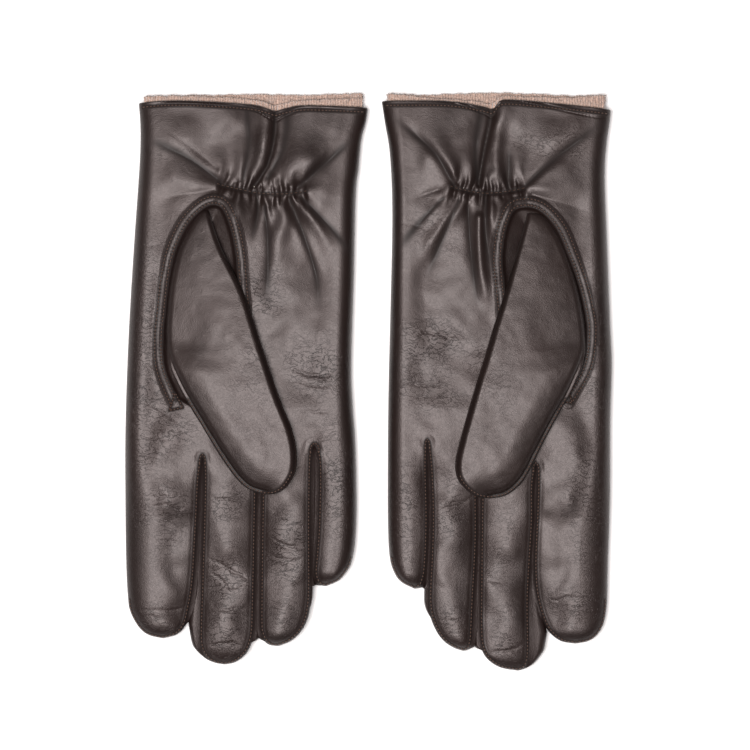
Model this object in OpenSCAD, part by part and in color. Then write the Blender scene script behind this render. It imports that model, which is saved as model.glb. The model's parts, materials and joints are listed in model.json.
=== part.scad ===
// A pair of lined leather gloves, each lying on its back with the palm up and the thumb folded
// over the palm. +Y runs to the cuffs, +Z out of the palms, and the origin is at the middle of
// the pair's base. Each glove is drawn once, as the right hand's, and mirrored for the left.

/* [Pair] */
// Distance between the two gloves' centre lines
pair_pitch = 114.5; // [113:0.5:140]
// Turn of each glove, fingertips outwards, in degrees
glove_yaw = 1.2; // [0:0.1:2]

/* [Hand] */
// Width across the palm
hand_w = 103; // [102:0.5:106]
// Thickness of the hand as it lies
hand_t = 15; // [14.5:0.5:18]
// Edge radius of the hand and the fingers
edge_r = 5; // [4:0.5:6]
// Distance of the leather's cuff edge from the glove's middle
cuff_y = 125.5; // [122:0.5:135]
// Height of the lining that shows past the cuff edge
lining_show = 4; // [2:0.5:8]
// Distance of the finger roots from the glove's middle
crotch_y = -34; // [-38:1:-30]

/* [Fingers] */
// Thickness of a finger as it lies
finger_t = 13; // [12.5:0.5:14]
// Gap between the two sides of a knuckle
knuckle_gap = 0.3; // [0.2:0.1:0.6]

/* [Thumb] */
// Thickness of the folded thumb
thumb_t = 12; // [11:0.5:14]
// Gap between the palm and the folded thumb
thumb_gap = 1; // [0.9:0.1:1.5]
// Radius of the thumb's tip
thumb_tip_r = 16.5; // [15:0.5:18]

/* [Materials] */
// Thickness of the leather
leather_t = 1; // [0.8:0.1:1.2]
// Thickness of the knitted lining
lining_t = 1.5; // [1.2:0.1:1.6]

/* [Wrist] */
// Length of the gathered elastic
elastic_l = 42; // [36:1:54]
// Width of the elastic
elastic_w = 8; // [5:1:10]
// Distance of the elastic from the glove's middle
elastic_y = 86; // [84.5:0.5:92]
// Depth of the turned cuff hem
hem_d = 7; // [5:0.5:10]

/* [Hidden] */
$fn = 48;

// Name, centre line, width, root to knuckle, root to tip, slant towards the little finger, and
// the sides that have a fourchette: -1 is the index side and 1 is the little finger's side.
FINGERS = [
    ["index",  -35.6, 30.6, 24, 82,   0.5, [1]],
    ["middle",  -6.3, 25.5, 30, 94.5, 0,   [-1, 1]],
    ["ring",    19.3, 23.5, 26, 85.5, 0.3, [-1, 1]],
    ["little",  41.5, 19,   22, 57.5, 0.5, [-1]]
];
FINGER_PARTS = ["leather", "fourchettes", "lining", "stitching"];
HAND_PARTS = [
    "trank", "root_fourchettes", "thumb_quirk", "cuff_hem", "wrist_elastic", "hand_lining",
    "cuff_stitching", "elastic_stitching", "thumb_seam_stitching"
];
TIP_PARTS = [
    "thumb_leather", "thumb_lining", "thumb_stitching", "thumb_touch_pad", "index_touch_pad"
];
PARTS = concat(HAND_PARTS, [for (f = FINGERS, p = FINGER_PARTS) str(f[0], "_", p)], TIP_PARTS);
SIDES = ["right", "left"];

LEATHER = "#3a2d2b";
KNIT = "#a98c80";
THREAD = "#6e4b37";
RUBBER = "#e8e2d6";
PAD = "#55504c";

fit = 0.1;              // clearance between the leather and what lies inside it
far = 200;              // longer than any part, for cutting shapes
arc_steps = 16;         // straight pieces in half a turn of the thumb hole
lining_inset = leather_t + fit;
cavity_inset = lining_inset + lining_t;
hem_t = 0.8;
elastic_t = 0.8;
elastic_x = 5;
pad_t = 0.6;
index_pad_r = 9;
thumb_pad_r = 10;
thread_w = 0.6;
thread_h = 0.3;
hem_seam_in = 3;        // distance of the hem's stitch line from the cuff edge
tip_seam_in = 5.3;      // distance of a fingertip's stitch line from its side
thumb_seam_in = 2.5;    // distance of the thumb's stitch line from its side
fourchette_z = [3, 10]; // the heights between which a fourchette is set in
fourchette_deep = 1.8;  // its depth into the finger's side, just past the leather's round edge

// The raised seam where the thumb joins the palm is a stadium around these two centres.
seam_ends = [[-17, 63], [-20, 9]];
seam_r = 16;
seam_w = 2.6;
seam_h = 0.5;
// The way from the palm into the thumb is a smaller stadium within the thumb's outline.
mouth_ends = [[-17.5, 54], [-18, 10]];
mouth_r = 10.5;

// The folded thumb: its top corner, the two ends of its hinge edge, its outer corner and its tip.
thumb_top = [-14.5, 78.5];
hinge_a = [-28, 71];
hinge_b = [-38.5, 21];
thumb_corner = [-35.5, 13];
thumb_tip = [9.2, -34];
hinge_slope = 45;       // rise of the thumb's wall from the hinge edge
thumb_z = hand_t + thumb_gap;

// The pair's reach along Y, from the middle fingertip to the lining's edge, and its middle.
middle = FINGERS[1];
low_y = (crotch_y - middle[4] + middle[2] / 2) * cos(glove_yaw) - middle[1] * sin(glove_yaw)
    - middle[2] / 2;
high_y = (cuff_y + lining_show) * cos(glove_yaw) + (hand_w / 2 - lining_inset) * sin(glove_yaw);
pair_y = -(low_y + high_y) / 2;

// ---- outlines -----------------------------------------------------------------------------

// A rectangle with round corners, standing on y = 0.
module section(w, t, r) {
    translate([-w / 2, r]) square([w, t - 2 * r]);
    translate([-w / 2 + r, 0]) square([w - 2 * r, t]);
    for (x = [-1, 1], y = [r, t - r])
        translate([x * (w / 2 - r), y]) circle(r = r);
}

// Half a turn around each of two centres, joined by straight sides.
module stadium(ends, r) {
    d = ends[1] - ends[0];
    heading = atan2(d[1], d[0]);
    polygon([
        for (end = [0, 1], step = [0:arc_steps])
            let (turn = heading + 90 + 180 * (end + step / arc_steps))
                ends[end] + r * [cos(turn), sin(turn)]
    ]);
}

// The point where a line from p touches a circle, on its left (1) or its right (-1).
function tangent_point(p, c, r, side) =
    let (d = c - p, turn = side * asin(r / norm(d)), heading = atan2(d[1], d[0]) + turn)
    c + r * [cos(heading + side * 90), sin(heading + side * 90)];

// The left normal of the line from a to b.
function normal(a, b) = [a[1] - b[1], b[0] - a[0]] / norm(b - a);

// Corner b of the outline a, b, c, moved in from both of its sides by d.
function moved_in(a, b, c, d) =
    let (n = normal(a, b), m = normal(b, c)) b + d * (n + m) / (1 + n * m);

// The folded thumb seen from above, drawn in by inset on every side.
module thumb_outline(inset) {
    start = tangent_point(thumb_top, thumb_tip, thumb_tip_r, 1);
    end = tangent_point(thumb_corner, thumb_tip, thumb_tip_r, -1);
    chain = [start, thumb_top, hinge_a, hinge_b, thumb_corner, end];
    corners = [for (i = [1:4]) moved_in(chain[i - 1], chain[i], chain[i + 1], inset)];
    r = thumb_tip_r - inset;
    translate(thumb_tip) circle(r = r);
    polygon(concat(corners, [
        tangent_point(corners[3], thumb_tip, r, -1),
        thumb_tip,
        tangent_point(corners[0], thumb_tip, r, 1)
    ]));
}

// ---- solids that hold each sub-part's shape ------------------------------------------------

// A section drawn in by inset, swept from y0 up to y1.
module swept(w, t, inset, y0, y1) {
    translate([0, y1, inset]) rotate([90, 0, 0]) linear_extrude(y1 - y0)
        section(w - 2 * inset, t - 2 * inset, edge_r - inset);
}

module at_root(f) {
    translate([f[1], crotch_y, 0]) rotate(f[5]) children();
}

// The hand, closed at the finger roots.
module hand_form(inset, y_top) {
    swept(hand_w, hand_t, inset, crotch_y + inset, y_top);
}

// A finger from its root to the knuckle.
module stub_form(f, inset, root, knuckle_more = 0) {
    at_root(f) swept(f[2], finger_t, inset, knuckle_gap / 2 - f[3] - knuckle_more, root);
}

// A finger's plan, from its root to its round tip.
module finger_outline(f, inset) {
    r = f[2] / 2 - inset;
    tip_centre = f[4] - f[2] / 2;
    translate([0, -tip_centre]) circle(r = r);
    translate([-r, -tip_centre]) square([2 * r, tip_centre]);
}

// A finger from the knuckle to its round tip.
module end_form(f, inset, knuckle_more = 0) {
    at_root(f) intersection() {
        swept(f[2], finger_t, inset, -f[4], -f[3] - knuckle_gap / 2 + knuckle_more);
        linear_extrude(hand_t) finger_outline(f, inset);
    }
}

// The strip along a finger's side where the fourchette is set in.
module fourchette_zone(f, from, to) {
    for (side = f[6])
        at_root(f) translate([side * (f[2] - fourchette_deep + fit) / 2, 0, fourchette_z[0]])
            translate([-fourchette_deep / 2, -to, 0])
                cube([fourchette_deep, to - from, fourchette_z[1] - fourchette_z[0]]);
}

// The folded thumb, drawn in by inset. Its wall rises at a slope from the hinge edge.
module thumb_form(inset) {
    run = hinge_b - hinge_a;
    difference() {
        translate([0, 0, thumb_z + inset])
            linear_extrude(thumb_t - 2 * inset) thumb_outline(inset);
        translate([hinge_a[0], hinge_a[1], thumb_z])
            rotate(atan2(run[1], run[0])) rotate([hinge_slope - 90, 0, 0])
                translate([-far, inset - far, -far]) cube([2 * far, far, 2 * far]);
    }
}

// A plug through whatever lies between two heights where the palm opens into the thumb.
module mouth(r, z0, z1) {
    translate([0, 0, z0]) linear_extrude(z1 - z0) stadium(mouth_ends, r);
}

// ---- the hand's own parts -----------------------------------------------------------------

// Palm, back and finger roots: one piece of leather, with the raised seam of the thumb hole.
module trank() {
    color(LEATHER) difference() {
        union() {
            hand_form(0, cuff_y);
            for (f = FINGERS) stub_form(f, 0, leather_t / 2);
            translate([0, 0, hand_t - leather_t / 2]) linear_extrude(seam_h + leather_t / 2)
                difference() {
                    stadium(seam_ends, seam_r + seam_w);
                    stadium(seam_ends, seam_r);
                }
        }
        hand_form(leather_t, far);
        for (f = FINGERS) {
            stub_form(f, leather_t, 2 * leather_t, 1);
            fourchette_zone(f, 1, f[3] + 1);
        }
        mouth(mouth_r, hand_t / 2, hand_t + 1);
    }
}

module root_fourchettes() {
    color(LEATHER) for (f = FINGERS) intersection() {
        difference() {
            stub_form(f, 0, 0);
            stub_form(f, leather_t, 1, 1);
        }
        fourchette_zone(f, 1, f[3] + 1);
    }
}

// The small gusset at the foot of the thumb's seam.
module thumb_quirk() {
    color(LEATHER) translate([0, 0, hand_t]) linear_extrude(seam_h)
        polygon([[-36, -9], [-31, -9], [-28, -14], [-34, -16]]);
}

// The cuff's leather, turned in and sewn down.
module cuff_hem() {
    color(LEATHER) difference() {
        swept(hand_w, hand_t, lining_inset, cuff_y - hem_d, cuff_y);
        swept(hand_w, hand_t, lining_inset + hem_t, cuff_y - far, far);
    }
}

module wrist_elastic() {
    color(RUBBER) translate([elastic_x - elastic_l / 2, elastic_y - elastic_w / 2,
                             hand_t - lining_inset - elastic_t])
        cube([elastic_l, elastic_w, elastic_t]);
}

// The knitted inner glove, from the cuff to the knuckles, cut back for the hem and the elastic.
module hand_lining() {
    color(KNIT) difference() {
        union() {
            hand_form(lining_inset, cuff_y + lining_show);
            for (f = FINGERS) stub_form(f, lining_inset, 2 * leather_t);
        }
        hand_form(cavity_inset, far);
        for (f = FINGERS) stub_form(f, cavity_inset, 2 * cavity_inset, 1);
        mouth(mouth_r - lining_t, hand_t / 2, hand_t);
        difference() {
            swept(hand_w, hand_t, 0, cuff_y - hem_d - fit, cuff_y);
            swept(hand_w, hand_t, lining_inset + hem_t + fit, 0, far);
        }
        translate([elastic_x - elastic_l / 2 - fit, elastic_y - elastic_w / 2 - fit,
                   hand_t - lining_inset - elastic_t - fit])
            cube([elastic_l + 2 * fit, elastic_w + 2 * fit, hand_t]);
    }
}

// The hem's stitch line, over the palm side of the cuff.
module cuff_stitching() {
    y = cuff_y - hem_seam_in;
    color(THREAD) intersection() {
        difference() {
            swept(hand_w, hand_t, -thread_h, y - thread_w / 2, y + thread_w / 2);
            swept(hand_w, hand_t, 0, 0, far);
        }
        translate([-far / 2, 0, hand_t / 2]) cube([far, far, hand_t]);
    }
}

module elastic_stitching() {
    color(THREAD) for (row = [-1, 1])
        translate([elastic_x - elastic_l / 2, elastic_y + row * elastic_w / 4 - thread_w / 2, hand_t])
            cube([elastic_l, thread_w, thread_h]);
}

// Two rows of thread on the raised seam around the thumb.
module thumb_seam_stitching() {
    color(THREAD) translate([0, 0, hand_t + seam_h]) linear_extrude(thread_h)
        for (r = [seam_r + thread_w / 2, seam_r + seam_w - 3 * thread_w / 2]) difference() {
            stadium(seam_ends, r + thread_w);
            stadium(seam_ends, r);
        }
}

// ---- the fingers --------------------------------------------------------------------------

module finger_leather(f) {
    color(LEATHER) difference() {
        end_form(f, 0);
        end_form(f, leather_t, 1);
        fourchette_zone(f, f[3] - 1, f[4] - f[2] / 2);
    }
}

module finger_fourchettes(f) {
    color(LEATHER) intersection() {
        difference() {
            end_form(f, 0);
            end_form(f, leather_t, 1);
        }
        fourchette_zone(f, f[3] - 1, f[4] - f[2] / 2);
    }
}

module finger_lining(f) {
    color(KNIT) difference() {
        end_form(f, lining_inset);
        end_form(f, cavity_inset, 1);
        if (f[0] == "index") index_pad_form(fit);
    }
}

// The stitch line along each fourchette and around the fingertip, on the palm side.
module finger_stitching(f) {
    reach = f[2] / 2 - tip_seam_in;
    color(THREAD) at_root(f) translate([0, 0, finger_t]) linear_extrude(thread_h) difference() {
        finger_outline(f, tip_seam_in - thread_w);
        finger_outline(f, tip_seam_in);
        translate([-far / 2, -f[3] - knuckle_gap]) square([far, far]);
        for (side = [-1, 1])
            if (len(search(side, f[6])) == 0)
                translate([side * far / 2 - far / 2, f[2] / 2 - f[4]]) square([far, far]);
    }
}

// ---- the thumb ----------------------------------------------------------------------------

module thumb_leather() {
    color(LEATHER) difference() {
        thumb_form(0);
        thumb_form(leather_t);
        mouth(mouth_r, thumb_z - 1, thumb_z + lining_inset);
    }
}

module thumb_lining() {
    color(KNIT) difference() {
        thumb_form(lining_inset);
        thumb_form(cavity_inset);
        mouth(mouth_r - lining_t, thumb_z, thumb_z + cavity_inset + fit);
        thumb_pad_form(fit);
    }
}

// The stitch line along the thumb's outer side and around half of its tip.
module thumb_stitching() {
    run = tangent_point(thumb_corner, thumb_tip, thumb_tip_r, -1) - thumb_corner;
    color(THREAD) translate([0, 0, thumb_z + thumb_t]) linear_extrude(thread_h) intersection() {
        difference() {
            thumb_outline(thumb_seam_in);
            thumb_outline(thumb_seam_in + thread_w);
        }
        translate(thumb_tip) rotate(atan2(run[1], run[0]))
            translate([-norm(run) * 0.8, -far]) square([far, far]);
    }
}

// ---- the conductive pads, between leather and lining ----------------------------------------

// Under the palm side of the index fingertip.
module index_pad_form(more) {
    f = FINGERS[0];
    r = index_pad_r + more;
    y = f[2] / 2 - f[4];
    at_root(f) translate([0, 0, finger_t - lining_inset - pad_t - more])
        linear_extrude(pad_t + 2 * more) {
            translate([0, y]) circle(r = r);
            translate([-r, y]) square([2 * r, index_pad_r + more]);
        }
}

// On the pad side of the thumb, which faces the palm.
module thumb_pad_form(more) {
    translate([thumb_tip[0], thumb_tip[1], thumb_z + lining_inset - more])
        linear_extrude(pad_t + 2 * more) circle(r = thumb_pad_r + more);
}

module index_touch_pad() { color(PAD) index_pad_form(0); }

module thumb_touch_pad() { color(PAD) thumb_pad_form(0); }

// ---- the pair -----------------------------------------------------------------------------

module part(name) {
    if (name == "trank") trank();
    if (name == "root_fourchettes") root_fourchettes();
    if (name == "thumb_quirk") thumb_quirk();
    if (name == "cuff_hem") cuff_hem();
    if (name == "wrist_elastic") wrist_elastic();
    if (name == "hand_lining") hand_lining();
    if (name == "cuff_stitching") cuff_stitching();
    if (name == "elastic_stitching") elastic_stitching();
    if (name == "thumb_seam_stitching") thumb_seam_stitching();
    for (f = FINGERS) {
        if (name == str(f[0], "_leather")) finger_leather(f);
        if (name == str(f[0], "_fourchettes")) finger_fourchettes(f);
        if (name == str(f[0], "_lining")) finger_lining(f);
        if (name == str(f[0], "_stitching")) finger_stitching(f);
    }
    if (name == "thumb_leather") thumb_leather();
    if (name == "thumb_lining") thumb_lining();
    if (name == "thumb_stitching") thumb_stitching();
    if (name == "thumb_touch_pad") thumb_touch_pad();
    if (name == "index_touch_pad") index_touch_pad();
}

// Puts a right-hand part on its side of the pair, mirrored for the left hand.
module placed(side) {
    mirror([side == "left" ? 1 : 0, 0, 0])
        translate([-pair_pitch / 2, pair_y, 0]) rotate(-glove_yaw) children();
}

for (side = SIDES, name = PARTS)
    placed(side) part(name);
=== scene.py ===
import json
import math

import bpy
import numpy as np
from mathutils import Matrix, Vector
from mathutils.bvhtree import BVHTree
from mathutils.kdtree import KDTree


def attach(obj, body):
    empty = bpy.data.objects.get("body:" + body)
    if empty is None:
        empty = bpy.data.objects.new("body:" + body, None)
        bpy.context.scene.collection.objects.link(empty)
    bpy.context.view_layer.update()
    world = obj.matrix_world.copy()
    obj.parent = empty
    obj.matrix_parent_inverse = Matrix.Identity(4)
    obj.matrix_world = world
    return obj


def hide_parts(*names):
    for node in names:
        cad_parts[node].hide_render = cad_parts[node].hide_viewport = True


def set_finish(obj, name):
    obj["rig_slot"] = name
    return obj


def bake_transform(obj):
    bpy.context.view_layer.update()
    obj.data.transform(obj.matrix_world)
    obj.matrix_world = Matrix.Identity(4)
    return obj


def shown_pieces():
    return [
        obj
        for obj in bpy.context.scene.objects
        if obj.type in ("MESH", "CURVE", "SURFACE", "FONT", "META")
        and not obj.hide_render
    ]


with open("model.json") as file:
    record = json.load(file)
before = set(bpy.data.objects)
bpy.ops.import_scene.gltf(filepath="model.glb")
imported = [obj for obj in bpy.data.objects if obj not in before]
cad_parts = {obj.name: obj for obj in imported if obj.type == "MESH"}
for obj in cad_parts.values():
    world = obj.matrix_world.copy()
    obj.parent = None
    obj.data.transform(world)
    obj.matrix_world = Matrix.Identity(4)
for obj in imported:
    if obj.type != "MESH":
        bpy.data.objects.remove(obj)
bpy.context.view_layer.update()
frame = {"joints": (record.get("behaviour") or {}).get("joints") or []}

# Every glove is worked out in millimetres in its own frame, as the right hand's: index side at
# -x, cuff at +y, palm up. placed() then turns it, mirrors it for the left hand and moves it to
# its side.
MM = 0.001
PITCH = 114.5           # between the two gloves' centre lines
YAW = math.radians(1.2)
SHIFT_Y = -1.09         # the CAD model's own shift of the pair
STEP = 0.5              # spacing of the leather's mesh
WELT = 0.8              # how far the leather stands out past a finger's stitches
STITCH = 1.6            # one stitch and its gap
CUFF_Y = 125.5
CUT_Y = -20.0           # where the fingers' leather takes over from the hand's
PALM_Z = 14.2           # height of the palm
MID_Z = 6.0             # height of the fold along the glove's sides
SIDE_R = 7.5            # how far in the fold's roundness reaches on the palm side
BACK_R = 5.0            # and on the back
SEAM_DROP = 1.3         # how far the leather rounds down to a finger's seam
SEAM_IN = 0.9           # from a finger's edge to its stitches
BACK_SEAM_Z = 2.6       # height of the seam between a fourchette and the back

# The points of each outline go from the cuff to the fingertip. "wall" is how far a fourchette
# bulges out past its finger's edge, by y.
OUTLINES = {
    "right": {
        "index": {
            "low": [(-49, 127), (-48, 116), (-47.8, 104), (-48.3, 90), (-49.6, 64), (-51, 30),
                    (-51.7, 0), (-51.8, -26), (-51.2, -53), (-50.2, -82), (-49, -98),
                    (-48, -103), (-45.8, -107.5), (-42.8, -111.4), (-39, -113.8), (-33, -115)],
            "high": [(-16.8, -30), (-18.4, -42), (-19, -58), (-20.2, -88), (-22.2, -102),
                     (-24, -109), (-27, -113), (-33, -115)],
            "wall_high": [(-34, 1.4), (-115, 1.2)],
        },
        "middle": {
            "low": [(-16.8, -30), (-15, -42), (-15.4, -90), (-15.6, -110), (-15, -118),
                    (-12.8, -123), (-9.5, -125.3), (-5, -126.2)],
            "high": [(9, -30), (7.3, -40), (7.2, -100), (6.8, -112), (5.2, -118), (2.8, -122.3),
                     (-0.6, -125), (-5, -126.2)],
            "wall_low": [(-34, 1.4), (-70, 2.2), (-95, 4.6), (-108, 6), (-118, 4.4), (-126, 1)],
            "wall_high": [(-34, 1.4), (-126, 1.2)],
        },
        "ring": {
            "low": [(9, -30), (10.8, -40), (11.2, -80), (11.5, -104), (12, -111), (13.4, -115),
                    (16, -117), (19, -117.4)],
            "high": [(32.8, -22), (31.6, -34), (31.7, -60), (32.3, -90), (31.8, -100),
                     (30.4, -106), (27.4, -111.5), (24, -115), (19, -117.4)],
            "wall_low": [(-34, 1.4), (-117, 1.6)],
            "wall_high": [(-27, 1.4), (-117, 1.2)],
        },
        "little": {
            "low": [(32.8, -22), (36.2, -34), (36.6, -60), (36, -74), (35.4, -83), (35.8, -87),
                    (37.2, -89.2), (40, -90)],
            "high": [(54.4, 127), (53.6, 120), (51.6, 111), (50.6, 98), (49.6, 86), (49.5, 50),
                     (49.2, 10), (50.2, -8), (51.8, -26), (52.9, -52), (52.6, -70), (51.2, -79),
                     (49, -83.5), (45.6, -87.4), (40, -90)],
            "wall_low": [(-27, 1.4), (-40, 3.2), (-70, 3), (-86, 1.8), (-90, 0.8)],
        },
    },
    "left": {
        "index": {
            "low": [(-54.6, 127), (-53.6, 119), (-52.2, 108), (-51, 92), (-51.4, 64), (-52, 28),
                    (-52.4, 8), (-51.2, -18), (-50.3, -53), (-48.9, -80), (-48.2, -96),
                    (-47.6, -103), (-46, -109.5), (-43, -114), (-39.2, -116.4), (-33.5, -117.4)],
            "high": [(-17.8, -32), (-18.2, -44), (-17.4, -60), (-16.2, -80), (-16.8, -94),
                     (-19.4, -105), (-22.8, -112), (-27.2, -116), (-33.5, -117.4)],
            "wall_high": [(-36, 1.4), (-117, 1.2)],
        },
        "middle": {
            "low": [(-17.8, -32), (-15.2, -44), (-14.6, -62), (-13.2, -80), (-12, -98),
                    (-11.8, -116), (-11.4, -124), (-10.4, -127.4), (-7.5, -129)],
            "high": [(9, -32), (6.9, -42), (7.4, -62), (8.3, -90), (8.8, -110), (8, -118),
                     (5, -123.8), (0, -127.4), (-7.5, -129)],
            "wall_low": [(-36, 1.4), (-62, 2.2), (-90, 4), (-104, 7), (-112, 9), (-120, 7.6),
                         (-126, 4), (-129, 1)],
            "wall_high": [(-36, 1.4), (-129, 1.2)],
        },
        "ring": {
            "low": [(9, -32), (10.2, -42), (10.8, -70), (12.6, -95), (13.6, -110), (14, -116),
                    (14.8, -118.6), (17, -119.6)],
            "high": [(31.6, -20), (29.8, -36), (29.4, -58), (30.2, -76), (31.3, -92),
                     (31, -101), (28.8, -108.5), (25, -114.8), (21, -118), (17, -119.6)],
            "wall_low": [(-36, 1.4), (-70, 1.8), (-98, 3.6), (-110, 4.4), (-119, 1.6)],
            "wall_high": [(-27, 1.4), (-119, 1.2)],
        },
        "little": {
            "low": [(31.6, -20), (32.6, -36), (32.6, -58), (33.4, -75), (34.6, -86),
                    (35.6, -89.6), (38.5, -91.2)],
            "high": [(48.8, 127), (47.4, 117), (45.6, 106), (44.9, 88), (45.3, 66), (46.8, 32),
                     (48.4, -4), (49.2, -30), (49.8, -60), (49.4, -76), (47.6, -83.4),
                     (44.4, -88), (38.5, -91.2)],
            "wall_low": [(-27, 1.4), (-70, 2), (-84, 2.8), (-91, 1)],
        },
    },
}
FINGERS = ["index", "middle", "ring", "little"]
# Where the slit between each finger and the next begins.
CROTCHES = {"right": [-33, -32, -27], "left": [-36.8, -34.5, -25.2]}
# Height of the leather's cuff edge and of the two layers of lining behind it, by x.
CUFF_EDGE = {
    "right": [(-50, 125.2), (-30, 126.5), (0, 125.6), (9, 123.8), (13, 122.9), (18, 124.3),
              (27, 125.6), (55, 125.3)],
    "left": [(-56, 121.9), (-30, 125.2), (-9, 127.4), (-4, 126.6), (-1, 123.6), (4, 124.8),
             (20, 127.4), (50, 128.2)],
}
RIM_FRONT = {
    "right": [(-50, 127.6), (-40, 128.2), (-20, 128.4), (-8, 128.2), (3, 127.4), (9, 126),
              (13, 125.2), (18, 126.6), (27, 127.9), (38, 128.4), (48, 129), (55, 128.8)],
    "left": [(-56, 127.8), (-48, 128.3), (-36, 127.5), (-20, 128.2), (-11, 128.8), (-5, 128.7),
             (-2.5, 126.6), (0, 125.6), (5, 126.6), (15, 127.7), (25, 128.6), (33, 129.6),
             (45, 131), (50, 130.6)],
}
RIM_BACK = {
    "right": [(-50, 128), (-35, 128.7), (-15, 129.5), (5, 130.1), (20, 130.1), (35, 130.7),
              (50, 131.4), (55, 130.8)],
    "left": [(-56, 128), (-48, 128.7), (-36, 128.5), (-20, 129.8), (-3, 130.6), (15, 130.5),
             (30, 130.4), (45, 131.2), (50, 130.8)],
}
# Folds of the palm side: points from the gathered end outwards, height, and width at both ends.
FOLDS = {
    "right": [
        ([(-11, 91), (-28, 102), (-48, 111)], -1.3, 1.8, 4.0),
        ([(-13, 97), (-28, 108), (-44, 118)], -0.7, 1.8, 4.5),
        ([(-13, 94), (-26, 104), (-40, 112)], 0.5, 1.4, 3.5),
        ([(-9, 92), (-13, 100), (-20, 109)], 1.3, 1.2, 4.0),
        ([(-3, 91), (-1, 102), (-3, 112)], 1.6, 1.1, 2.6),
        ([(2, 90), (7, 103), (8, 112), (9.5, 124), (10, 158)], 2.0, 1.4, 3.4),
        ([(4, 89), (10, 99), (12.5, 111), (13, 125), (13, 158)], -3.2, 1.0, 2.2),
        ([(10, 93), (16, 104), (18, 114), (18, 125), (18, 158)], -1.5, 2.0, 6.5),
        ([(-1, 92), (1, 104), (1, 114), (0, 124), (-1, 158)], -1.3, 1.2, 5.0),
        ([(7, 90), (10, 100), (14, 106)], 1.2, 0.9, 1.6),
        ([(12, 90), (13, 96)], 1.3, 0.9, 1.3),
        ([(19, 91), (22, 98), (28, 105), (35, 113)], 1.7, 1.4, 6.0),
        ([(24, 89), (39, 103), (51, 114)], -2.4, 1.5, 3.6),
        ([(25, 92), (31, 101), (38, 109)], 1.2, 1.1, 4.0),
        ([(27, 87), (40, 89), (50, 92)], 1.1, 1.2, 5.0),
        ([(-7, 87), (-13, 83.5), (-17, 79)], 1.2, 1.3, 2.0),
        ([(-2, 86), (-3, 79), (-3, 68)], 2.0, 1.3, 2.2),
        ([(5, 87), (6, 77), (3, 62)], -2.2, 1.0, 2.0),
        ([(8, 86), (10, 80), (11, 70)], 2.0, 0.9, 1.2),
        ([(13, 86), (18, 75), (15, 62), (16, 44)], 2.2, 1.3, 4.0),
        ([(9, 80), (11, 60), (10, 33)], -1.8, 1.4, 3.4),
        ([(19, 87), (26, 80), (35, 70), (41, 60), (45, 44)], 2.6, 1.2, 3.6),
        ([(20, 84), (28, 64), (33, 48), (34, 30)], -2.1, 1.4, 3.4),
        ([(24, 70), (35, 49), (38, 34)], 1.0, 1.5, 3.5),
        ([(25, 85), (33, 77), (44, 65), (50, 56)], -1.4, 1.3, 3.4),
        ([(30, 84), (40, 77), (49, 70)], 0.8, 1.4, 4.0),
        ([(-13, 89), (-30, 91), (-48, 90)], 0.8, 1.5, 5.0),
        ([(-14, 87), (-32, 84), (-49, 80)], -0.7, 1.5, 5.0),
    ],
    "left": [
        ([(17, 90), (25, 104), (35, 113), (46, 123)], -2.6, 1.3, 3.2),
        ([(15.5, 91), (20, 100), (27, 108), (36, 118)], 1.9, 1.2, 5.0),
        ([(10, 91), (9, 98), (10, 108)], 1.6, 1.1, 3.0),
        ([(6, 90), (4, 101), (1, 115), (-0.5, 125), (-1, 158)], -3.2, 1.0, 2.2),
        ([(6, 92), (7, 104), (6, 114), (4, 125), (3, 158)], -1.6, 2.0, 6.5),
        ([(-4, 90), (-2, 100), (-3, 112), (-5, 125), (-6, 158)], 1.8, 1.3, 4.0),
        ([(5, 87), (2.5, 95)], 1.3, 0.8, 1.3),
        ([(0, 89), (0.5, 98)], 1.3, 0.8, 1.4),
        ([(-7.5, 88), (-8, 101), (-8, 108)], -1.6, 1.2, 3.0),
        ([(-11, 90), (-12, 101), (-18, 112)], 1.6, 1.1, 4.0),
        ([(-14, 88), (-25, 98), (-38, 108), (-54, 119)], -2.3, 1.4, 4.5),
        ([(-15, 89), (-26, 96), (-40, 104)], 1.3, 1.1, 4.0),
        ([(-17, 88), (-32, 87), (-48, 84)], 1.0, 1.3, 5.0),
        ([(-18, 85), (-34, 80), (-50, 74)], -0.8, 1.4, 5.0),
        ([(19, 89), (24, 80), (31, 70)], 1.3, 1.2, 3.0),
        ([(13, 86), (21, 73), (29, 62), (36, 50)], 2.6, 1.2, 3.0),
        ([(15, 83), (23, 66), (31, 47)], -2.2, 1.3, 3.4),
        ([(9, 85), (16, 76), (20, 68)], 1.3, 1.1, 2.0),
        ([(3, 86), (3, 65), (0, 44)], -2.4, 1.2, 2.6),
        ([(-1, 85), (1, 76), (1, 62)], 1.8, 1.0, 1.8),
        ([(6, 75), (6, 55), (4, 38), (5, 26)], 2.2, 1.2, 1.8),
        ([(11, 80), (10, 60), (7, 32)], -1.7, 1.3, 3.0),
        ([(-9, 85), (-6.5, 77), (-6, 70)], 1.5, 1.0, 1.6),
        ([(-14, 86), (-16, 83)], 1.0, 1.0, 1.6),
        ([(24, 88), (36, 84), (45, 80)], -1.0, 1.3, 4.0),
        ([(22, 84), (34, 72), (44, 60)], -1.1, 1.3, 3.6),
        ([(26, 80), (38, 66), (45, 54)], 0.9, 1.4, 3.6),
    ],
}
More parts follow.
